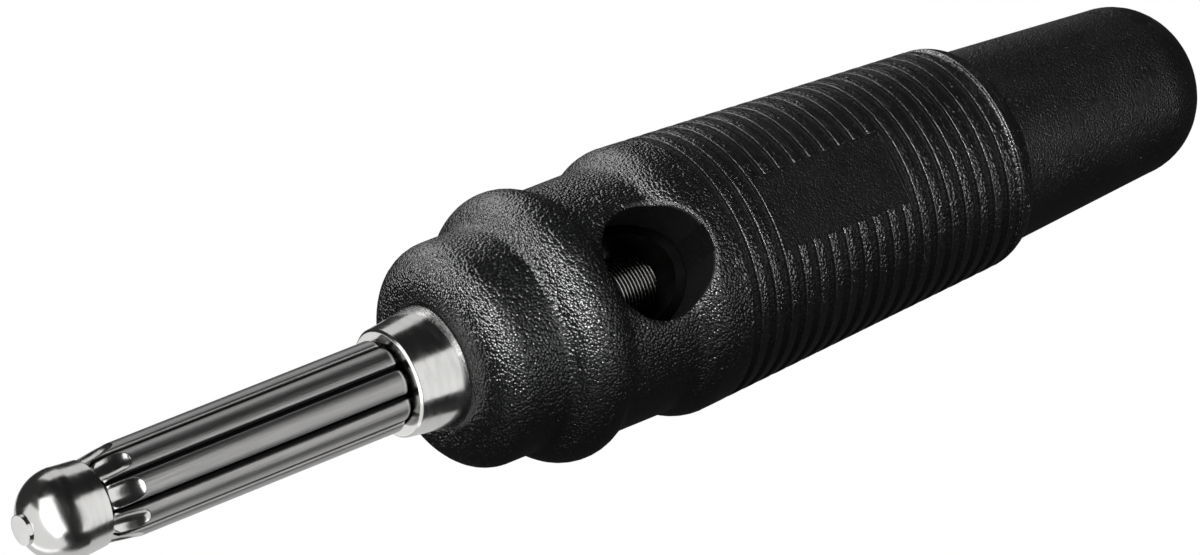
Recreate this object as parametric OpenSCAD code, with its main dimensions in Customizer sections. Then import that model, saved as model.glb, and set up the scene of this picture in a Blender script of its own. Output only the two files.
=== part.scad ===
// Bunch-pin banana plug with a cross hole and an axial clamp screw.
// The plug's axis is X: the pin points to -X and the cap to +X.
// The origin is on the axis, in the plane of the moulding's front face.
// The cross hole runs along Z, and the label field faces +Z.

/* [Contact pin] */
// Diameter over the spring leaves
pin_d = 4.0; // [3.8:0.05:4.4]
// Length from the moulding's front face to the tip
pin_l = 20.5; // [17:0.5:25]
// Diameter of the round head
head_d = 3.9; // [3.5:0.05:3.95]
// Length of the head's rear band
head_band_l = 1.2; // [0.6:0.1:2]
// Narrowing of the rear band, on the radius
head_band_drop = 0.1; // [0.02:0.02:0.3]
// Diameter of the flat pip on the tip
pip_d = 1.3; // [0.8:0.1:2]
// Height of the pip over the head
pip_h = 0.1; // [0.04:0.02:0.3]
// Diameter of the shank inside the leaves
shank_d = 2.86; // [2.4:0.02:3]
// Depth of the shank in the contact body, behind the moulding's front face
shank_seat = 3.0; // [1.5:0.1:4]

/* [Spring leaves] */
// Width of the slot between two leaves
leaf_slot = 0.15; // [0.1:0.01:0.3]
// Rounding of a leaf's long outer edges
leaf_edge_r = 0.08; // [0.04:0.01:0.14]
// Gap between the head and the leaves
leaf_front_gap = 0.18; // [0.1:0.02:0.4]
// Length of the scooped front end of a leaf
leaf_scoop_l = 1.5; // [0.8:0.1:1.6]
// Thickness left at the front of the scoop
leaf_nose_t = 0.08; // [0.04:0.02:0.2]
// Radius of the scoop across a leaf
leaf_scoop_r = 0.62; // [0.5:0.02:0.9]
// Length of the ramp at the front of a leaf's edges
leaf_ramp_l = 0.55; // [0.3:0.05:0.8]
// Height of the ramp's front edge over the shank
leaf_ramp_t = 0.2; // [0.1:0.02:0.3]
// Distance from a leaf's rear shoulder to the collar
leaf_rear_gap = 0.1; // [0.1:0.05:0.6]
// Rounding of a leaf's rear shoulder
leaf_rear_r = 0.3; // [0.2:0.05:0.5]
// Depth of a leaf's tail in the collar
leaf_tail_l = 1.7; // [0.8:0.1:2]
// Step from a leaf's face down to its tail
leaf_tail_step = 0.25; // [0.15:0.01:0.35]
// Turn of the first leaf from the label side
leaf_turn = 11.5; // [0:0.5:40]

/* [Contact body] */
// Length of the collar in front of the moulding
collar_l = 2.3; // [2:0.1:4]
// Diameter of the collar's front rim
collar_front_d = 4.72; // [4.5:0.02:5]
// Diameter of the collar where it meets the moulding
collar_rear_d = 5.3; // [5:0.05:5.6]
// Chamfer of the collar's front rim
collar_edge = 0.1; // [0.04:0.02:0.2]
// Diameter of the contact body inside the moulding
core_d = 6.4; // [5.6:0.1:7]
// Start of the wide part, behind the moulding's front face
core_step_x = 1.8; // [1:0.1:2.6]
// Rear end of the contact body
core_end_x = 17; // [14:0.5:18]
// Diameter of the contact body's own cross hole
contact_hole_d = 4.0; // [3.4:0.1:4.4]

/* [Insulating body] */
// Diameter of the front disc
disc_d = 9.77; // [9.2:0.1:10.5]
// Rounding of the disc's front edge
disc_round = 1.62; // [0.8:0.05:1.9]
// Largest diameter of the finger bulge
bulge_d = 11.79; // [11:0.1:12.6]
// Rounding of the finger bulge along the axis
bulge_round = 1.83; // [1.4:0.05:2.1]
// Middle of the finger bulge
bulge_x = 5.2; // [4.6:0.1:5.8]
// Diameter of the neck
neck_d = 10.78; // [10:0.1:11.2]
// Rounding of the valleys beside the bulge and at the shoulder
valley_round = 0.4; // [0.1:0.05:0.6]
// Start of the grip's shoulder
shoulder_x = 9.4; // [9:0.1:10.4]
// Rounding of the grip's shoulder
shoulder_round = 1.78; // [1:0.05:2]
// Diameter of the grip behind its shoulder
grip_front_d = 11.76; // [11.2:0.1:12.4]
// Wall of the grip round the cap's spigot, where its rear rounding starts
grip_rear_wall = 0.52; // [0.4:0.02:0.8]
// Rear end of the grip
grip_end_x = 28.6; // [26:0.2:32]
// Rounding of the grip's rear edge
grip_rear_round = 1.71; // [1:0.05:1.8]
// Width of the grip's flat end face round the cap
grip_lip_w = 0.2; // [0.1:0.02:0.36]
// Diameter of the cross hole in the moulding
hole_d = 5.0; // [4.4:0.1:5.4]
// Middle of the cross hole
hole_x = 8.75; // [8:0.05:9.4]

/* [Ribs and label] */
// Distance from rib to rib
rib_pitch = 0.834; // [0.7:0.01:1.2]
// Depth of the grooves between the ribs
rib_depth = 0.16; // [0.08:0.02:0.24]
// Width of a groove at the surface
rib_groove_w = 0.42; // [0.3:0.02:0.6]
// Width of a groove's floor
rib_floor_w = 0.32; // [0.2:0.02:0.4]
// First groove, behind the end of the shoulder's rounding
rib_lead = 1.43; // [1:0.05:2]
// Smooth length kept in front of the grip's rear end
rib_tail = 0.6; // [0.4:0.1:2]
// Start of the label field
label_x = 14.55; // [13:0.05:16]
// Length of the label field
label_l = 7.2; // [4:0.1:10]
// Width of the label field
label_w = 3.3; // [2.4:0.1:4]
// Depth of the label field's flat floor under the rib crests
label_depth = 0.42; // [0.4:0.02:0.6]

/* [Clamp screw and cap] */
// Diameter of the screw's thread
screw_d = 3.0; // [2.5:0.1:3.2]
// Gap between the screw's tip and the front of the contact body's hole
screw_tip_gap = 0.3; // [0.1:0.05:0.6]
// Chamfer of the screw's tip
screw_tip_chamfer = 0.25; // [0.1:0.05:0.5]
// Diameter of the screw's head inside the cap
screw_head_d = 5.2; // [4.4:0.1:6]
// Length of the screw's head
screw_head_l = 3.0; // [2:0.1:4]
// Depth of the head behind the cap's front end
screw_head_in = 4.5; // [3:0.1:6]
// Diameter of the cap's spigot inside the grip
spigot_d = 8.8; // [8.4:0.05:9.2]
// Gap between the contact body and the spigot, with the screw tight
spigot_gap = 2.5; // [1:0.1:4]
// Length of the cap behind the grip
cap_l = 11.95; // [9:0.05:16]
// Narrowing of the cap along its length, on the radius for each mm
cap_taper = 0.0704; // [0.03:0.005:0.09]
// Rounding of the cap's rear end
cap_round = 3.24; // [1:0.05:3.4]

/* [Fits] */
// Radial clearance of turning and sliding pieces
run_gap = 0.05; // [0.02:0.01:0.08]
// Radial clearance of pieces that are pressed or moulded in
seat_gap = 0.02; // [0.01:0.01:0.05]

/* [Hidden] */
LEAVES = [
    "spring_leaf_1", "spring_leaf_2", "spring_leaf_3", "spring_leaf_4", "spring_leaf_5",
    "spring_leaf_6", "spring_leaf_7", "spring_leaf_8", "spring_leaf_9"
];
$fn = 96;

// Overlap of cutting tools past the faces they cut
cut = 1;
// Small rounds reach this far into the faces they blend, so that they meet them cleanly
bite = 0.004;

// Pin and leaves
pin_r = pin_d / 2;
head_r = head_d / 2;
shank_r = shank_d / 2;
head_x = -pin_l + pip_h + head_r;
head_rear_x = head_x + head_band_l;
leaf_count = len(LEAVES);
leaf_pitch = 360 / leaf_count;
leaf_inner_r = shank_r + seat_gap;
leaf_tail_r = pin_r - leaf_tail_step;
leaf_front_x = head_rear_x + leaf_front_gap;
leaf_rear_x = -collar_l - leaf_rear_gap;
leaf_tail_x = -collar_l + leaf_tail_l;
// The rear rounding is set this far above a leaf's face, so that it cuts the face cleanly
leaf_rear_lift = 0.03;
leaf_side_turn = leaf_pitch / 2 - asin(leaf_slot / 2 / pin_r);
leaf_crest_turn = leaf_side_turn - asin(leaf_edge_r / (pin_r - leaf_edge_r));
leaf_side_l = sqrt((pin_r - leaf_edge_r) ^ 2 - leaf_edge_r ^ 2);
leaf_scoop_turn = atan((pin_r - leaf_inner_r - leaf_nose_t) / leaf_scoop_l);

// Contact body
core_r = core_d / 2;
lead_stop_x = hole_x - contact_hole_d / 2;
collar_front_r = collar_front_d / 2;
collar_edge_x = -collar_l + collar_edge;
socket_r = leaf_tail_r + run_gap;
socket_end_x = leaf_tail_x + run_gap;

// Moulding
disc_r = disc_d / 2;
bulge_r = bulge_d / 2;
neck_r = neck_d / 2;
grip_front_r = grip_front_d / 2;
grip_x = shoulder_x + shoulder_round;
bore_r = spigot_d / 2 + run_gap;
grip_rear_r = bore_r + grip_rear_wall;
grip_lip_r = bore_r + grip_lip_w;
// Length of the rear rounding that is left in front of the grip's end face
rear_arc_l = sqrt(grip_rear_round ^ 2 - (grip_lip_r - (grip_rear_r - grip_rear_round)) ^ 2);
grip_round_x = grip_end_x - rear_arc_l;
grip_slope = (grip_front_r - grip_rear_r) / (grip_round_x - grip_x);
function grip_r(x) = grip_front_r - grip_slope * (x - grip_x);
rib_first_x = grip_x + rib_lead;
rib_count = floor((grip_end_x - rib_tail - rib_groove_w / 2 - rib_first_x) / rib_pitch) + 1;

// Screw and cap
screw_r = screw_d / 2;
screw_head_r = screw_head_d / 2;
screw_tip_x = lead_stop_x + screw_tip_gap;
spigot_r = spigot_d / 2;
spigot_x = core_end_x + spigot_gap;
screw_head_x = spigot_x + screw_head_in;
screw_end_x = screw_head_x + screw_head_l;
cap_end_x = grip_end_x + cap_l;
cap_round_x = cap_end_x - cap_round;
cap_rear_r = spigot_r - cap_taper * (cap_round_x - grip_end_x);

PLASTIC = [0.05, 0.05, 0.055];
NICKEL = [0.78, 0.77, 0.74];
SPRING = [0.62, 0.61, 0.6];

// Turns a half profile, drawn with X as radius and Y along the plug, about the plug's axis
module turned() {
    rotate([0, 90, 0])
        rotate_extrude()
            children();
}

// Half profile of a cylinder or cone between two places on the axis
module span(x0, x1, r0, r1) {
    polygon([[0, x0], [r0, x0], [r1, x1], [0, x1]]);
}

// Round spot of a half profile
module spot(x, r, round_r) {
    translate([r, x])
        circle(r = round_r);
}

// Hole along Z through the plug at the cross hole
module cross_cut(d) {
    translate([hole_x, 0, 0])
        cylinder(d = d, h = bulge_d + 2 * cut, center = true);
}

// Centre of the fillet between a cylinder of radius r and a round spot that stands out of it
function valley(r, spot, round_r, side) =
    let (lift = r + valley_round - bite - spot.x)
    [spot.x + lift, spot.y + side * sqrt((round_r + valley_round - bite) ^ 2 - lift ^ 2)];

// Outline of the disc's rear, the neck and the valleys, up to the middles of the bulge and the shoulder
module neck_outline(bulge_spot, shoulder_spot) {
    front = valley(disc_r, bulge_spot, bulge_round, -1);
    middle = valley(neck_r, bulge_spot, bulge_round, 1);
    rear = valley(neck_r, shoulder_spot, shoulder_round, -1);
    difference() {
        polygon([
            [0, disc_round], [disc_r, disc_round], [disc_r, front.y], front, bulge_spot,
            middle, [neck_r, middle.y], [neck_r, rear.y], rear, shoulder_spot, [0, grip_x]
        ]);
        for (place = [front, middle, rear])
            spot(place.y, place.x, valley_round);
    }
}

// Outline of the moulding, without ribs or bores
module moulding_outline() {
    bulge_spot = [bulge_r - bulge_round, bulge_x];
    shoulder_spot = [grip_front_r - shoulder_round, grip_x];
    span(0, disc_round, disc_r - disc_round, disc_r - disc_round);
    spot(disc_round, disc_r - disc_round, disc_round);
    neck_outline(bulge_spot, shoulder_spot);
    spot(bulge_spot.y, bulge_spot.x, bulge_round);
    spot(shoulder_spot.y, shoulder_spot.x, shoulder_round);
    span(grip_x, grip_round_x, grip_front_r, grip_rear_r);
    intersection() {
        spot(grip_round_x, grip_rear_r - grip_rear_round, grip_rear_round);
        span(grip_x, grip_end_x, bulge_r, bulge_r);
    }
}

// One groove between two ribs
module rib_groove(x) {
    r = grip_r(x);
    flank = (rib_groove_w - rib_floor_w) / 2;
    polygon([
        [r - rib_depth, x - rib_floor_w / 2],
        [r - rib_depth, x + rib_floor_w / 2],
        [r + rib_depth, x + rib_groove_w / 2 + flank],
        [r + rib_depth, x - rib_groove_w / 2 - flank]
    ]);
}

// Flat label field, sunk in the grip along its taper
module label_cut() {
    translate([label_x, -label_w / 2, grip_r(label_x) - label_depth])
        rotate([0, atan(grip_slope), 0])
            cube([label_l, label_w, label_depth + cut]);
}

// Black moulding: disc, finger bulge, neck with the cross hole and ribbed grip
module insulating_body() {
    color(PLASTIC)
        difference() {
            turned()
                difference() {
                    moulding_outline();
                    for (i = [0 : rib_count - 1])
                        rib_groove(rib_first_x + i * rib_pitch);
                    span(-cut, core_step_x, collar_rear_d / 2 + seat_gap, collar_rear_d / 2 + seat_gap);
                    span(core_step_x, core_end_x, core_r + seat_gap, core_r + seat_gap);
                    span(core_end_x, grip_end_x + cut, bore_r, bore_r);
                }
            cross_cut(hole_d);
            label_cut();
        }
}

// Plated contact body: flared collar, socket for the leaves, cross hole and screw bore
module contact_body() {
    color(NICKEL)
        difference() {
            turned()
                difference() {
                    union() {
                        span(-collar_l, collar_edge_x, collar_front_r - collar_edge, collar_front_r);
                        span(collar_edge_x, 0, collar_front_r, collar_rear_d / 2);
                        span(0, core_step_x, collar_rear_d / 2, collar_rear_d / 2);
                        span(core_step_x, core_end_x, core_r, core_r);
                    }
                    span(-collar_l - cut, socket_end_x, socket_r, socket_r);
                    span(socket_end_x, shank_seat, shank_r + seat_gap, shank_r + seat_gap);
                    span(lead_stop_x, core_end_x + cut, screw_r + run_gap, screw_r + run_gap);
                }
            cross_cut(contact_hole_d);
        }
}

// Solid pin in the middle of the bundle: pip, round head, neck and shank
module core_pin() {
    color(NICKEL)
        turned()
            union() {
                span(-pin_l, head_x, pip_d / 2, pip_d / 2);
                intersection() {
                    spot(head_x, 0, head_r);
                    span(head_x - head_r, head_x, head_r, head_r);
                }
                span(head_x, head_rear_x, head_r, head_r - head_band_drop);
                span(head_rear_x, shank_seat, shank_r, shank_r);
            }
}

// Cross-section of a leaf, crest up: a ring sector with rounded outer edges
module leaf_section() {
    difference() {
        intersection() {
            circle(r = pin_r);
            leaf_wedge(leaf_side_turn, pin_d);
            union() {
                leaf_wedge(leaf_crest_turn, pin_d);
                leaf_wedge(leaf_side_turn, leaf_side_l);
                for (side = [-1, 1])
                    rotate(side * leaf_crest_turn)
                        translate([0, pin_r - leaf_edge_r])
                            circle(r = leaf_edge_r + bite);
            }
        }
        circle(r = leaf_inner_r);
    }
}

// Wedge about +Y, as wide as the given turn to each side
module leaf_wedge(turn, reach) {
    polygon([[0, 0], [-reach * sin(turn), reach * cos(turn)], [reach * sin(turn), reach * cos(turn)]]);
}

// Half profile that every leaf keeps inside: front ramp, full height, round rear shoulder, lower tail
module leaf_envelope() {
    ramp_x = leaf_front_x + leaf_ramp_l;
    round_x = leaf_rear_x - leaf_rear_r;
    span(leaf_front_x, ramp_x, shank_r + leaf_ramp_t, pin_r);
    span(ramp_x, round_x, pin_r + cut, pin_r + cut);
    spot(round_x, pin_r + leaf_rear_lift - leaf_rear_r, leaf_rear_r);
    span(ramp_x, leaf_tail_x, leaf_tail_r, leaf_tail_r);
}

// Scoop that slopes the front end of a leaf down to the neck
module leaf_scoop() {
    translate([leaf_front_x + leaf_scoop_l, 0, pin_r])
        rotate([0, -leaf_scoop_turn, 0])
            translate([0, 0, leaf_scoop_r])
                rotate([0, 90, 0])
                    cylinder(r = leaf_scoop_r, h = 2 * (leaf_scoop_l + cut), center = true);
}

// One spring leaf of the bundle
module spring_leaf(i) {
    color(SPRING)
        rotate([leaf_turn + i * leaf_pitch, 0, 0])
            difference() {
                intersection() {
                    translate([leaf_front_x - cut, 0, 0])
                        rotate([90, 0, 90])
                            linear_extrude(leaf_tail_x - leaf_front_x + 2 * cut)
                                leaf_section();
                    turned()
                        leaf_envelope();
                }
                leaf_scoop();
            }
}

// Clamp screw: threaded stud with a plain head that the cap is moulded round
module clamp_screw() {
    color(NICKEL)
        turned()
            union() {
                span(screw_tip_x, screw_tip_x + screw_tip_chamfer, screw_r - screw_tip_chamfer, screw_r);
                span(screw_tip_x + screw_tip_chamfer, screw_head_x, screw_r, screw_r);
                span(screw_head_x, screw_end_x, screw_head_r, screw_head_r);
            }
}

// Smooth tapered cap that turns the screw, with a spigot that runs in the grip
module screw_cap() {
    pocket_r = screw_head_r + run_gap;
    color(PLASTIC)
        turned()
            difference() {
                union() {
                    span(spigot_x, grip_end_x, spigot_r, spigot_r);
                    span(grip_end_x, cap_round_x, spigot_r, cap_rear_r);
                    intersection() {
                        spot(cap_round_x, cap_rear_r - cap_round, cap_round);
                        span(cap_round_x, cap_end_x, cap_rear_r, cap_rear_r);
                    }
                    span(cap_round_x, cap_end_x, cap_rear_r - cap_round, cap_rear_r - cap_round);
                }
                span(spigot_x - cut, screw_head_x, screw_r + run_gap, screw_r + run_gap);
                span(screw_head_x - run_gap, screw_end_x + run_gap, pocket_r, pocket_r);
            }
}

insulating_body();
contact_body();
core_pin();
for (i = [0 : leaf_count - 1])
    spring_leaf(i);
clamp_screw();
screw_cap();
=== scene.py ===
"""Looks of a banana plug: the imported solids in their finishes, spring leaves with round faces,
a clamp screw with its thread, and a pale studio seen from the photograph's angle.
Lengths are in metres, written as millimetres times MM."""

import math

import bmesh
import bpy
from mathutils import Matrix, Vector


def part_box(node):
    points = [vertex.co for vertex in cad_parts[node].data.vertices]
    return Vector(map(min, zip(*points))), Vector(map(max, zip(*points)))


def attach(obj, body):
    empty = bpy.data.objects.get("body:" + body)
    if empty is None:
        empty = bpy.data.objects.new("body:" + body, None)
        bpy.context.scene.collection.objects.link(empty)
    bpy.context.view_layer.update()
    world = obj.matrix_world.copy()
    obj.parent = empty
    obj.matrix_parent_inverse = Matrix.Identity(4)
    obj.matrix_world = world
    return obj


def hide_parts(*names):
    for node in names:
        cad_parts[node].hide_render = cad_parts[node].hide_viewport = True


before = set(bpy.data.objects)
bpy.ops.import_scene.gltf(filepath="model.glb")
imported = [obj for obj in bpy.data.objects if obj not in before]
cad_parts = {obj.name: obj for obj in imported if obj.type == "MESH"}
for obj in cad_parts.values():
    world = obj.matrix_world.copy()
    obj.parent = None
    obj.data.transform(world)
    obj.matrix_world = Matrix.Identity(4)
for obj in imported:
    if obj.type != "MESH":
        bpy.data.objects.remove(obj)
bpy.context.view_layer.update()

MM = 0.001
AXIS = Vector((1, 0, 0))

# Size of the photograph, in pixels
PHOTO_W = 1200
PHOTO_H = 555

# Places taken from the frame
moulding_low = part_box("insulating_body")[0]
collar_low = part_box("contact_body")[0]
leaf_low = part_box("spring_leaf_1")[0]
screw_low, screw_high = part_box("clamp_screw")

# Middle range of a noise texture, where most of its values lie
NOISE_LOW = 0.3
NOISE_HIGH = 0.7

# Black plastic: size and uneven height of its grains, ripple between them, and tone in grains
BLACK = (0.0022, 0.0022, 0.0023)
COARSE_GRAIN = 0.13 * MM
FINE_GRAIN = 0.09 * MM
LOWEST_GRAIN = 0.6
HIGHEST_GRAIN = 1.4
RIPPLE_SHARE = 0.4
TONE_GRAINS = 20
ROUGHNESS_SPREAD = 0.05
EDGE_SAMPLES = 6

# Metals: colours, sizes of their marks and heights of these
NICKEL = (0.73, 0.725, 0.71)
WIPE_MARK = 0.3 * MM
SWELL = 0.5 * MM
SWELL_HEIGHT = 0.004 * MM
NICKEL_EDGE = 0.06 * MM
# Near-black metal: painted shade for the bores inside the moulding and behind the spring leaves
PAINTED_SHADE_METAL = (0.02, 0.02, 0.02)
BORE_RING = 0.1 * MM
SPRING_METAL = (0.46, 0.455, 0.45)
DRAWN_STREAK = 0.05 * MM
STREAK_HEIGHT = 0.004 * MM
SPRING_GRAIN = 0.06 * MM
SPRING_GRAIN_HEIGHT = 0.008 * MM
SPRING_EDGE = 0.04 * MM
CREST_METAL = (0.7, 0.69, 0.66)
# Painted shade in the thread's roots: near-black below this share of the thread's depth from the
# crest, fading to the crest colour above it
ROOT_PAINTED_SHADE = (0.02, 0.02, 0.02)
ROOT_SHADE_SHARE = 0.6
TOOL_MARK = 0.04 * MM

# Ribs of the grip: where they start, and their crests behind the shoulder and at the rear
RIBS_X = 12.2 * MM
CREST_X0 = 11.18 * MM
CREST_R0 = 5.88 * MM
CREST_X1 = 27.6 * MM
CREST_R1 = 4.97 * MM
GROOVE_SKIN = 0.03 * MM

# Cross hole in the neck, and how far its wall's normals may tilt
HOLE_X = 8.75 * MM
HOLE_R = 2.5 * MM
WALL_TILT = 0.1

# Label field, recessed in the grip, and how upright its normal is
LABEL_X0 = 14.55 * MM
LABEL_X1 = 21.75 * MM
LABEL_HALF_W = 1.66 * MM
LABEL_UPRIGHT = 0.99

# Clamp screw
THREAD_R = 1.5 * MM
THREAD_DEPTH = 0.09 * MM
THREAD_LEAD = 0.35 * MM
THREAD_STARTS = 2
THREAD_END_X = 17.5 * MM
SCREW_TIP_CHAMFER = 0.25 * MM
SCREW_HEAD_R = 2.6 * MM
SCREW_HEAD_L = 3.0 * MM
SCREW_COLUMNS = 72
ROWS_PER_CREST = 8

# Spring leaves, each with a rounder face than the pin as a whole
LEAF_COUNT = 9
LEAF_TURN = math.radians(11.5)
LEAF_PITCH = 2 * math.pi / LEAF_COUNT
LEAF_R = 2.0 * MM
LEAF_FACE_R = 0.85 * MM
LEAF_EDGE_R = 0.12 * MM
LEAF_SLOT = 0.24 * MM
LEAF_INNER_R = 1.45 * MM
LEAF_FACE_POINTS = 22
LEAF_EDGE_POINTS = 6
LEAF_RAMP_L = 0.55 * MM
LEAF_RAMP_R = 1.63 * MM
LEAF_SCOOP_L = 1.5 * MM
LEAF_SCOOP_R = 0.75 * MM
LEAF_SCOOP_BLUNT = 1.7
LEAF_NOSE_T = 0.08 * MM
LEAF_REAR_GAP = 0.1 * MM
LEAF_REAR_R = 0.38 * MM
LEAF_PLAN_R = 0.3 * MM
LEAF_ROW = 0.03 * MM
LEAF_REAR_X = collar_low.x - LEAF_REAR_GAP

# Stage: a white floor under the plug, and a white shell round the studio
WHITE = (1.0, 1.0, 1.0, 1.0)
FLOOR_Z = moulding_low.z
FLOOR_HALF = 1.6
BACKDROP_R = 1.4
BACKDROP_COLUMNS = 48
BACKDROP_ROWS = 24

# Softboxes, and the dark surround below and above the horizon
SOFTBOX_DISTANCE = 0.4
SURROUND_LOW = (0.03, 0.03, 0.03, 1)
SURROUND_HIGH = (0.015, 0.015, 0.015, 1)
HORIZON_BLUR = 0.1

# Camera: tilt of the plug's axis towards the camera, turn about the axis, and roll
AXIS_TILT = math.radians(32.3)
AXIS_TURN = math.radians(7.0)
ROLL = math.radians(21.7)
LENS_MM = 240
SENSOR_MM = 36
NEAR_CLIP = 10 * MM
FAR_CLIP = 10.0
PIXELS_PER_MM = 24
AIM = Vector((9.18, 0, 0)) * MM
AIM_PIXEL = (607.3, 295.9)


# Node helpers


class Shader:
    """A new material with its node tree and principled shader at hand."""

    def __init__(self, name, colour, metallic=0.0, specular=0.5):
        self.material = bpy.data.materials.new(name)
        self.material.use_nodes = True
        self.tree = self.material.node_tree
        self.bsdf = self.tree.nodes["Principled BSDF"]
        self.use("Base Color", (*colour, 1))
        self.use("Metallic", metallic)
        self.use("Specular IOR Level", specular)
        self.place = self.node("ShaderNodeTexCoord").outputs["Object"]

    def use(self, name, value):
        """Sets an input of the principled shader."""
        self.set(self.bsdf.inputs[name], value)

    def set(self, socket, value):
        """Links a socket into another, or gives it a number."""
        if isinstance(value, bpy.types.NodeSocket):
            self.tree.links.new(value, socket)
        else:
            socket.default_value = value

    def node(self, kind, **values):
        """A node whose named inputs are numbers or are linked from sockets."""
        made = self.tree.nodes.new(kind)
        for name, value in values.items():
            self.set(made.inputs[name.replace("_", " ")], value)
        return made

    def step(self, kind, operation, *values):
        """One step of a math or vector math node."""
        made = self.node(kind)
        made.operation = operation
        for socket, value in zip(made.inputs, values):
            self.set(socket, value)
        return made

    def math(self, operation, *values):
        return self.step("ShaderNodeMath", operation, *values).outputs["Value"]

    def from_axis(self):
        """Distance from the plug's axis, in metres."""
        across = self.step("ShaderNodeVectorMath", "MULTIPLY", self.place, (0.0, 1.0, 1.0))
        length = self.step("ShaderNodeVectorMath", "LENGTH", across.outputs["Vector"])
        return length.outputs["Value"]

    def stretched(self, scale):
        """The object's own coordinates, stretched by a scale along each axis."""
        mapping = self.node("ShaderNodeMapping", Vector=self.place, Scale=scale)
        return mapping.outputs["Vector"]

    def noise(self, size, detail=2.0, vector=None):
        """Noise with features of about one size, in metres."""
        made = self.node(
            "ShaderNodeTexNoise", Vector=vector or self.place, Scale=1 / size, Detail=detail
        )
        return made.outputs["Fac"]

    def grains(self, size):
        """Round bumps, packed closely, of one size in metres and of uneven height."""
        cells = self.node("ShaderNodeTexVoronoi", Vector=self.place, Scale=1 / size)
        bowl = self.math("POWER", cells.outputs["Distance"], 2.0)
        shade = self.node("ShaderNodeSeparateColor", Color=cells.outputs["Color"])
        height = self.remap(shade.outputs["Red"], 0.0, 1.0, LOWEST_GRAIN, HIGHEST_GRAIN)
        return self.math("MULTIPLY", self.math("SUBTRACT", 1.0, bowl), height)

    def remap(self, value, low, high, to_low, to_high):
        made = self.node(
            "ShaderNodeMapRange",
            Value=value, From_Min=low, From_Max=high, To_Min=to_low, To_Max=to_high,
        )
        return made.outputs["Result"]

    def fade(self, value, first, last):
        """A colour that goes from the first to the last as a value goes from 0 to 1."""
        made = self.node("ShaderNodeValToRGB", Fac=value)
        for end, colour in zip(made.color_ramp.elements, (first, last)):
            end.color = (*colour, 1)
        return made.outputs["Color"]

    def uneven_roughness(self, noise, low, high):
        self.use("Roughness", self.remap(noise, NOISE_LOW, NOISE_HIGH, low, high))

    def soft_edges(self, radius):
        """Normals that make sharp edges look round."""
        made = self.node("ShaderNodeBevel", Radius=radius)
        made.samples = EDGE_SAMPLES
        return made.outputs["Normal"]

    def bump(self, height, distance, normal):
        made = self.node(
            "ShaderNodeBump", Height=height, Distance=distance, Strength=1.0, Normal=normal
        )
        return made.outputs["Normal"]


# Materials


def grained_plastic(name, roughness, specular, grain, height, edge):
    """Black plastic from a spark-eroded mould: grains of one size, and edges a little round."""
    shader = Shader(name, BLACK, specular=specular)
    tone = shader.noise(grain * TONE_GRAINS)
    shader.uneven_roughness(tone, roughness - ROUGHNESS_SPREAD, roughness + ROUGHNESS_SPREAD)
    ripple = shader.bump(shader.noise(grain), height * RIPPLE_SHARE, shader.soft_edges(edge))
    shader.use("Normal", shader.bump(shader.grains(grain), height, ripple))
    return shader.material


def polished_nickel():
    """Plated and tumbled metal, with faint wipe marks."""
    shader = Shader("polished_nickel", NICKEL, metallic=1.0)
    wipe = shader.noise(WIPE_MARK, detail=4.0, vector=shader.stretched((1.0, 0.25, 0.25)))
    shader.uneven_roughness(wipe, low=0.13, high=0.25)
    swell = shader.bump(shader.noise(SWELL), SWELL_HEIGHT, shader.soft_edges(NICKEL_EDGE))
    shader.use("Normal", swell)
    return shader.material


def painted_shade_bore():
    """Metal inside the moulding, left as it was turned, coloured near-black as painted shade for
    the bores and the gaps behind the leaves.
    """
    shader = Shader("painted_shade_bore", PAINTED_SHADE_METAL, metallic=1.0)
    rings = shader.noise(BORE_RING, vector=shader.stretched((1.0, 0.1, 0.1)))
    shader.uneven_roughness(rings, low=0.34, high=0.48)
    return shader.material


def satin_spring():
    """Drawn spring strip: streaks along the plug's axis, and a fine grain."""
    shader = Shader("satin_spring", SPRING_METAL, metallic=1.0)
    streak = shader.noise(DRAWN_STREAK, detail=3.0, vector=shader.stretched((0.02, 1.0, 1.0)))
    shader.uneven_roughness(streak, low=0.3, high=0.46)
    drawn = shader.bump(streak, STREAK_HEIGHT, shader.soft_edges(SPRING_EDGE))
    shader.use("Normal", shader.bump(shader.noise(SPRING_GRAIN), SPRING_GRAIN_HEIGHT, drawn))
    return shader.material


def thread_metal():
    """Cut thread with fine tool marks: bright crests, and roots darkened towards black as painted
    shade.
    """
    shader = Shader("thread_metal", CREST_METAL, metallic=1.0)
    root_r = THREAD_R - ROOT_SHADE_SHARE * THREAD_DEPTH
    crest = shader.remap(shader.from_axis(), root_r, THREAD_R, 0.0, 1.0)
    # Painted shade: the colour goes from the crest colour to near-black towards the roots
    shader.use("Base Color", shader.fade(crest, ROOT_PAINTED_SHADE, CREST_METAL))
    marks = shader.noise(TOOL_MARK, vector=shader.stretched((1.0, 0.2, 0.2)))
    shader.uneven_roughness(marks, low=0.18, high=0.32)
    return shader.material


def paint(node, material):
    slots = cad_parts[node].data.materials
    slots.clear()
    slots.append(material)


def paint_where(node, material, chosen):
    """Gives the faces of a node that a test picks a material of their own."""
    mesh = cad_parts[node].data
    mesh.materials.append(material)
    for face in mesh.polygons:
        if chosen(face):
            face.material_index = len(mesh.materials) - 1


def in_front_of_ribs(face):
    return face.center.x < RIBS_X


def in_cross_hole(face):
    spot = face.center
    return math.hypot(spot.x - HOLE_X, spot.y) < HOLE_R and abs(face.normal.z) < WALL_TILT


def in_groove(face):
    spot = face.center
    share = (spot.x - CREST_X0) / (CREST_X1 - CREST_X0)
    crest = CREST_R0 + (CREST_R1 - CREST_R0) * share
    return 0 < share < 1 and math.hypot(spot.y, spot.z) < crest - GROOVE_SKIN


def in_label_field(face):
    spot = face.center
    inside = LABEL_X0 < spot.x < LABEL_X1 and abs(spot.y) < LABEL_HALF_W
    return inside and face.normal.z > LABEL_UPRIGHT


def inside_moulding(face):
    return face.center.x > moulding_low.x


def behind_head(face):
    return face.center.x > leaf_low.x


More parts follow.
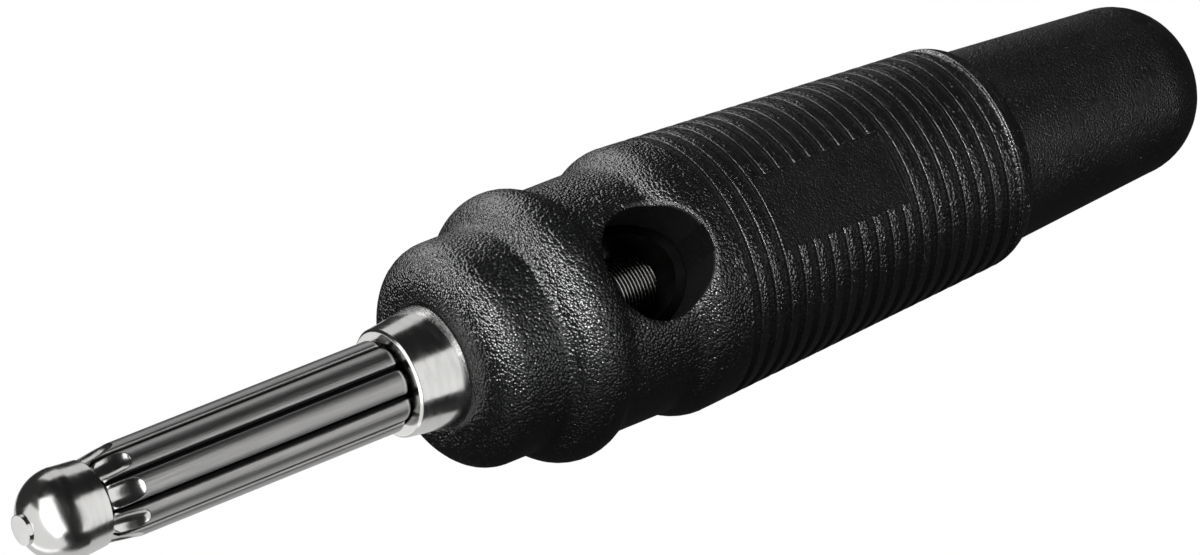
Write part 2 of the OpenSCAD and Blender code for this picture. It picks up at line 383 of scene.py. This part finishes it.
def paint_moulding():
    """Coarse grain in front, glossy crests and dull grooves behind, a dull hole and label field."""
    ribbed = grained_plastic(
        "ribbed_moulding", roughness=0.2, specular=1.0,
        grain=COARSE_GRAIN, height=0.026 * MM, edge=0.12 * MM,
    )
    grained = grained_plastic(
        "grained_moulding", roughness=0.2, specular=0.5,
        grain=COARSE_GRAIN, height=0.045 * MM, edge=0.45 * MM,
    )
    wall = grained_plastic(
        "hole_wall", roughness=0.45, specular=0.25,
        grain=FINE_GRAIN, height=0.012 * MM, edge=0.45 * MM,
    )
    groove = grained_plastic(
        "groove_moulding", roughness=0.4, specular=0.15,
        grain=COARSE_GRAIN, height=0.03 * MM, edge=0.04 * MM,
    )
    label = grained_plastic(
        "label_field", roughness=0.35, specular=0.25,
        grain=FINE_GRAIN, height=0.02 * MM, edge=0.03 * MM,
    )
    paint("insulating_body", ribbed)
    paint_where("insulating_body", grained, in_front_of_ribs)
    paint_where("insulating_body", wall, in_cross_hole)
    paint_where("insulating_body", groove, in_groove)
    paint_where("insulating_body", label, in_label_field)


def paint_cap():
    cap = grained_plastic(
        "fine_grained_cap", roughness=0.3, specular=0.5,
        grain=FINE_GRAIN, height=0.02 * MM, edge=0.05 * MM,
    )
    paint("screw_cap", cap)


def paint_contact(nickel):
    """Bright plate where it shows, and near-black metal as painted shade inside the moulding and
    behind the leaves.
    """
    bore_shade = painted_shade_bore()
    paint("contact_body", nickel)
    paint_where("contact_body", bore_shade, inside_moulding)
    paint("core_pin", nickel)
    paint_where("core_pin", bore_shade, behind_head)


# Pieces


def add_mesh(name, points, faces, body, slot, *materials):
    mesh = bpy.data.meshes.new(name)
    mesh.from_pydata(points, [], faces)
    mesh.update()
    mesh.shade_smooth()
    for material in materials:
        mesh.materials.append(material)
    piece = bpy.data.objects.new(name, mesh)
    bpy.context.scene.collection.objects.link(piece)
    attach(piece, body)
    return piece


def ring_pairs(rows, columns):
    """Neighbouring points of each ring of a tube but the last, point by point."""
    for row in range(rows - 1):
        for column in range(columns):
            yield row * columns + column, row * columns + (column + 1) % columns


def thread_radius(x, turn):
    """Radius of the thread at a place along the screw, for a share of a turn."""
    wave = 0.5 + 0.5 * math.cos(2 * math.pi * THREAD_STARTS * (x / THREAD_LEAD - turn))
    return THREAD_R - THREAD_DEPTH * (1 - wave)


def screw_rows():
    """Places along the screw, each with its outline radius and whether it is threaded."""
    tip = screw_low.x
    step = THREAD_LEAD / THREAD_STARTS / ROWS_PER_CREST
    count = round((THREAD_END_X - tip) / step)
    rows = [(tip, 0.0, False)]
    for n in range(count + 1):
        x = tip + n * step
        limit = THREAD_R - max(0.0, SCREW_TIP_CHAMFER - (x - tip))
        rows.append((x, limit, True))
    head_x = screw_high.x - SCREW_HEAD_L
    rows.append((THREAD_END_X + step, THREAD_R, False))
    rows.append((head_x, THREAD_R, False))
    rows.append((head_x, SCREW_HEAD_R, False))
    rows.append((screw_high.x, SCREW_HEAD_R, False))
    rows.append((screw_high.x, 0.0, False))
    return rows


def make_screw(material):
    """The clamp screw with its thread, in place of the plain solid."""
    points = []
    rows = screw_rows()
    for x, limit, threaded in rows:
        for column in range(SCREW_COLUMNS):
            turn = column / SCREW_COLUMNS
            angle = 2 * math.pi * turn
            radius = min(limit, thread_radius(x, turn)) if threaded else limit
            points.append((x, radius * math.cos(angle), radius * math.sin(angle)))
    faces = [
        (here, beside, beside + SCREW_COLUMNS, here + SCREW_COLUMNS)
        for here, beside in ring_pairs(len(rows), SCREW_COLUMNS)
    ]
    screw = add_mesh("clamp_screw_thread", points, faces, "screw", "screw", material)
    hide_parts("clamp_screw")
    return screw


def half_leaf_section():
    """Half cross-section of a leaf, crest up, from the crest to its inner corner."""
    half_pitch = LEAF_PITCH / 2
    face_middle = LEAF_R - LEAF_FACE_R
    reach = LEAF_FACE_R - LEAF_EDGE_R
    room = face_middle * math.sin(half_pitch) - LEAF_SLOT / 2 - LEAF_EDGE_R
    face_turn = half_pitch + math.asin(room / reach)
    half = []
    for n in range(LEAF_FACE_POINTS):
        turn = face_turn * n / LEAF_FACE_POINTS
        half.append((LEAF_FACE_R * math.sin(turn), face_middle + LEAF_FACE_R * math.cos(turn)))
    edge_y = reach * math.sin(face_turn)
    edge_z = face_middle + reach * math.cos(face_turn)
    side_turn = math.pi / 2 + half_pitch
    for n in range(LEAF_EDGE_POINTS + 1):
        turn = face_turn + (side_turn - face_turn) * n / LEAF_EDGE_POINTS
        half.append((edge_y + LEAF_EDGE_R * math.sin(turn), edge_z + LEAF_EDGE_R * math.cos(turn)))
    inner_y = LEAF_INNER_R * math.tan(half_pitch) - LEAF_SLOT / 2 / math.cos(half_pitch)
    half.append((inner_y, LEAF_INNER_R))
    return half


def leaf_rows(front, tail):
    """Places along a leaf, close together where its ends curve."""
    rows = [front]
    while rows[-1] < front + LEAF_SCOOP_L + LEAF_ROW:
        rows.append(rows[-1] + LEAF_ROW)
    count = round(LEAF_REAR_R / LEAF_ROW) * 2
    for n in range(count + 1):
        rows.append(LEAF_REAR_X - LEAF_REAR_R * math.cos(math.pi / 2 * n / count))
    rows.append(tail)
    return rows


def quarter_drop(distance, radius):
    """How far a quarter round has fallen at a distance along it."""
    along = min(max(distance, 0.0), radius)
    return radius - math.sqrt(radius * radius - along * along)


def scoop_depth(share):
    """Depth of a leaf's scoop at a share of its length from its blunt rear end."""
    if share <= 0:
        return share * LEAF_SCOOP_L
    full = LEAF_R - LEAF_INNER_R - LEAF_NOSE_T
    return full * (1 - (1 - min(share, 1.0)) ** LEAF_SCOOP_BLUNT) ** (1 / LEAF_SCOOP_BLUNT)


def leaf_slice(x, front, section):
    """A leaf's section at a place along it: points, and whether ramp or scoop has cut each."""
    ramp = LEAF_RAMP_R + (LEAF_R - LEAF_RAMP_R) * (x - front) / LEAF_RAMP_L
    depth = scoop_depth((front + LEAF_SCOOP_L - x) / LEAF_SCOOP_L)
    fall = quarter_drop(x - (LEAF_REAR_X - LEAF_REAR_R), LEAF_REAR_R)
    narrow = quarter_drop(x - (LEAF_REAR_X - LEAF_PLAN_R), LEAF_PLAN_R)
    floor_z = LEAF_INNER_R * math.cos(LEAF_PITCH / 2)
    for y, z in section:
        hollow = LEAF_SCOOP_R - math.sqrt(LEAF_SCOOP_R ** 2 - y * y)
        scooped = LEAF_R - depth + hollow
        top = min(math.sqrt(max(ramp, LEAF_INNER_R) ** 2 - y * y), scooped)
        narrowed = math.copysign(max(abs(y) - narrow, 0.0), y)
        yield narrowed, max(min(z, top) - fall, floor_z), top < z


def turned(x, y, z, turn):
    """A point, turned about the plug's axis."""
    return x, y * math.cos(turn) - z * math.sin(turn), y * math.sin(turn) + z * math.cos(turn)


def make_leaf(number, satin, polished):
    """One spring leaf: a round face, a polished scoop in front and a thumb-shaped rear end."""
    node = "spring_leaf_%d" % (number + 1)
    low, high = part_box(node)
    half = half_leaf_section()
    section = [(-y, z) for y, z in reversed(half[1:])] + half
    width = len(section)
    rows = leaf_rows(low.x, high.x)
    points = []
    cut = []
    for x in rows:
        for y, z, is_cut in leaf_slice(x, low.x, section):
            points.append(turned(x, y, z, LEAF_TURN + number * LEAF_PITCH))
            cut.append(is_cut)
    faces = [tuple(range(width)), tuple(reversed(range(len(points) - width, len(points))))]
    shiny = [True, False]
    for here, beside in ring_pairs(len(rows), width):
        faces.append((here, here + width, beside + width, beside))
        shiny.append(cut[here] and cut[beside] and rows[here // width] < low.x + LEAF_SCOOP_L)
    leaf = add_mesh("leaf_%d" % (number + 1), points, faces, "plug", "spring", satin, polished)
    for face, polish in zip(leaf.data.polygons, shiny):
        face.material_index = 1 if polish else 0
    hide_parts(node)
    return leaf


# Studio


def add_stage(name, mesh):
    """A white piece that only the camera sees: no reflections, bounced light or shadows."""
    shader = Shader("pale_" + name, BLACK, specular=0.0)
    shader.use("Emission Color", WHITE)
    shader.use("Emission Strength", 1.0)
    mesh.materials.append(shader.material)
    piece = bpy.data.objects.new(name, mesh)
    piece.visible_glossy = False
    piece.visible_diffuse = False
    piece.visible_shadow = False
    bpy.context.scene.collection.objects.link(piece)


def add_floor():
    mesh = bpy.data.meshes.new("floor")
    corners = [(-1, -1), (1, -1), (1, 1), (-1, 1)]
    points = [(x * FLOOR_HALF, y * FLOOR_HALF, FLOOR_Z) for x, y in corners]
    mesh.from_pydata(points, [], [(0, 1, 2, 3)])
    add_stage("floor", mesh)


def add_backdrop():
    """A shell round the whole studio, for views along the floor."""
    shell = bmesh.new()
    bmesh.ops.create_uvsphere(
        shell, u_segments=BACKDROP_COLUMNS, v_segments=BACKDROP_ROWS, radius=BACKDROP_R
    )
    mesh = bpy.data.meshes.new("backdrop")
    shell.to_mesh(mesh)
    shell.free()
    add_stage("backdrop", mesh)


def add_softbox(name, towards, size, radiance, lit, distance=SOFTBOX_DISTANCE):
    """A rectangular light that faces the plug, lights only some pieces and is not seen itself.
    Its first size lies in the plane of the plug's axis, its second across that plane."""
    data = bpy.data.lights.new(name, "AREA")
    data.shape = "RECTANGLE"
    width, height = size
    data.size = width
    data.size_y = height
    data.energy = radiance * math.pi * width * height
    light = bpy.data.objects.new(name, data)
    back = Vector(towards).normalized()
    side = AXIS.cross(back).cross(back).normalized() * -1
    turn = Matrix((side, back.cross(side), back)).transposed()
    light.matrix_world = Matrix.Translation(AIM + back * distance) @ turn.to_4x4()
    light.visible_camera = False
    bpy.context.scene.collection.objects.link(light)
    receivers = bpy.data.collections.new(name + "_lights")
    for piece in lit:
        receivers.objects.link(piece)
    light.light_linking.receiver_collection = receivers


def light_plastic(lit):
    """Small strong lights for glints on the grain, and broad weak ones for its shading."""
    add_softbox("key", (-0.46, -0.08, 0.88), size=(0.09, 0.11), radiance=50.0, lit=lit)
    add_softbox("overhead", (-0.10, 0.10, 0.98), size=(0.26, 0.22), radiance=2.4, lit=lit)
    add_softbox("near_side", (0.22, -0.52, 0.82), size=(0.26, 0.26), radiance=2.6, lit=lit)
    add_softbox("far_side", (-0.12, 0.98, -0.10), size=(0.18, 0.17), radiance=9.0, lit=lit)
    add_softbox("far_low", (0.10, 0.80, -0.55), size=(0.40, 0.17), radiance=2.2, lit=lit)
    add_softbox("low_front", (-0.67, 0.56, -0.49), size=(0.17, 0.17), radiance=10.0, lit=lit)
    add_softbox("front_strip", (-0.64, 0.36, 0.68), size=(0.08, 0.60), radiance=26.0, lit=lit)
    add_softbox("near_front", (-0.60, -0.75, 0.25), size=(0.16, 0.16), radiance=1.5, lit=lit)


def light_metal(lit):
    """Broad lights, which the plated metal mirrors as pale panels with dark gaps."""
    add_softbox("metal_key", (-0.80, -0.02, 0.47), size=(0.30, 0.85), radiance=1.6, lit=lit)
    add_softbox("metal_tent", (-0.85, -0.25, -0.25), size=(0.80, 0.90), radiance=0.85, lit=lit)
    add_softbox("metal_fill", (0.45, -0.42, 0.79), size=(0.26, 0.60), radiance=1.0, lit=lit)
    add_softbox("metal_far", (0.41, 0.87, -0.15), size=(0.40, 0.22), radiance=0.7, lit=lit)
    add_softbox(
        "metal_under", (0.20, -0.40, -0.90), size=(0.60, 0.60), radiance=0.6, lit=lit, distance=0.3
    )


def add_world():
    """A dark surround, a little lighter below the horizon."""
    world = bpy.data.worlds.new("studio")
    world.use_nodes = True
    tree = world.node_tree
    coords = tree.nodes.new("ShaderNodeTexCoord")
    split = tree.nodes.new("ShaderNodeSeparateXYZ")
    ramp = tree.nodes.new("ShaderNodeValToRGB")
    tree.links.new(coords.outputs["Generated"], split.inputs["Vector"])
    tree.links.new(split.outputs["Z"], ramp.inputs["Fac"])
    tree.links.new(ramp.outputs["Color"], tree.nodes["Background"].inputs["Color"])
    low, high = ramp.color_ramp.elements
    low.color = SURROUND_LOW
    high.position = HORIZON_BLUR
    high.color = SURROUND_HIGH
    bpy.context.scene.world = world


def camera_axes():
    """Right, up and back of the photograph's camera, from the plug's tilt, turn and roll."""
    top = Vector((0, -math.sin(AXIS_TURN), math.cos(AXIS_TURN)))
    back = math.cos(AXIS_TILT) * top - math.sin(AXIS_TILT) * AXIS
    level_right = math.cos(AXIS_TILT) * AXIS + math.sin(AXIS_TILT) * top
    level_up = top.cross(AXIS)
    right = math.cos(ROLL) * level_right - math.sin(ROLL) * level_up
    up = math.sin(ROLL) * level_right + math.cos(ROLL) * level_up
    return right, up, back


def add_camera():
    """The photograph's camera, far enough away for its scale in pixels per millimetre."""
    right, up, back = camera_axes()
    offset_x = (AIM_PIXEL[0] - PHOTO_W / 2) / PIXELS_PER_MM * MM
    offset_y = (PHOTO_H / 2 - AIM_PIXEL[1]) / PIXELS_PER_MM * MM
    centre = AIM - right * offset_x - up * offset_y
    distance = LENS_MM / SENSOR_MM * PHOTO_W / PIXELS_PER_MM * MM
    data = bpy.data.cameras.new("camera")
    data.lens = LENS_MM
    data.sensor_width = SENSOR_MM
    data.sensor_fit = "HORIZONTAL"
    data.clip_start = NEAR_CLIP
    data.clip_end = FAR_CLIP
    camera = bpy.data.objects.new("camera", data)
    turn = Matrix((right, up, back)).transposed()
    camera.matrix_world = Matrix.Translation(centre + back * distance) @ turn.to_4x4()
    bpy.context.scene.collection.objects.link(camera)
    bpy.context.scene.camera = camera


# The plug

nickel = polished_nickel()
spring = satin_spring()
paint_moulding()
paint_cap()
paint_contact(nickel)
leaves = [make_leaf(number, spring, nickel) for number in range(LEAF_COUNT)]
screw = make_screw(thread_metal())

# The studio

add_floor()
add_backdrop()
light_plastic([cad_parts["insulating_body"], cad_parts["screw_cap"]])
light_metal([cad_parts["contact_body"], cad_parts["core_pin"], *leaves, screw])
add_softbox("hole_light", (0.1, 0.0, 0.99), size=(0.5, 0.6), radiance=1.2, lit=[screw])
add_world()
add_camera()
bpy.context.scene.view_settings.view_transform = "Standard"
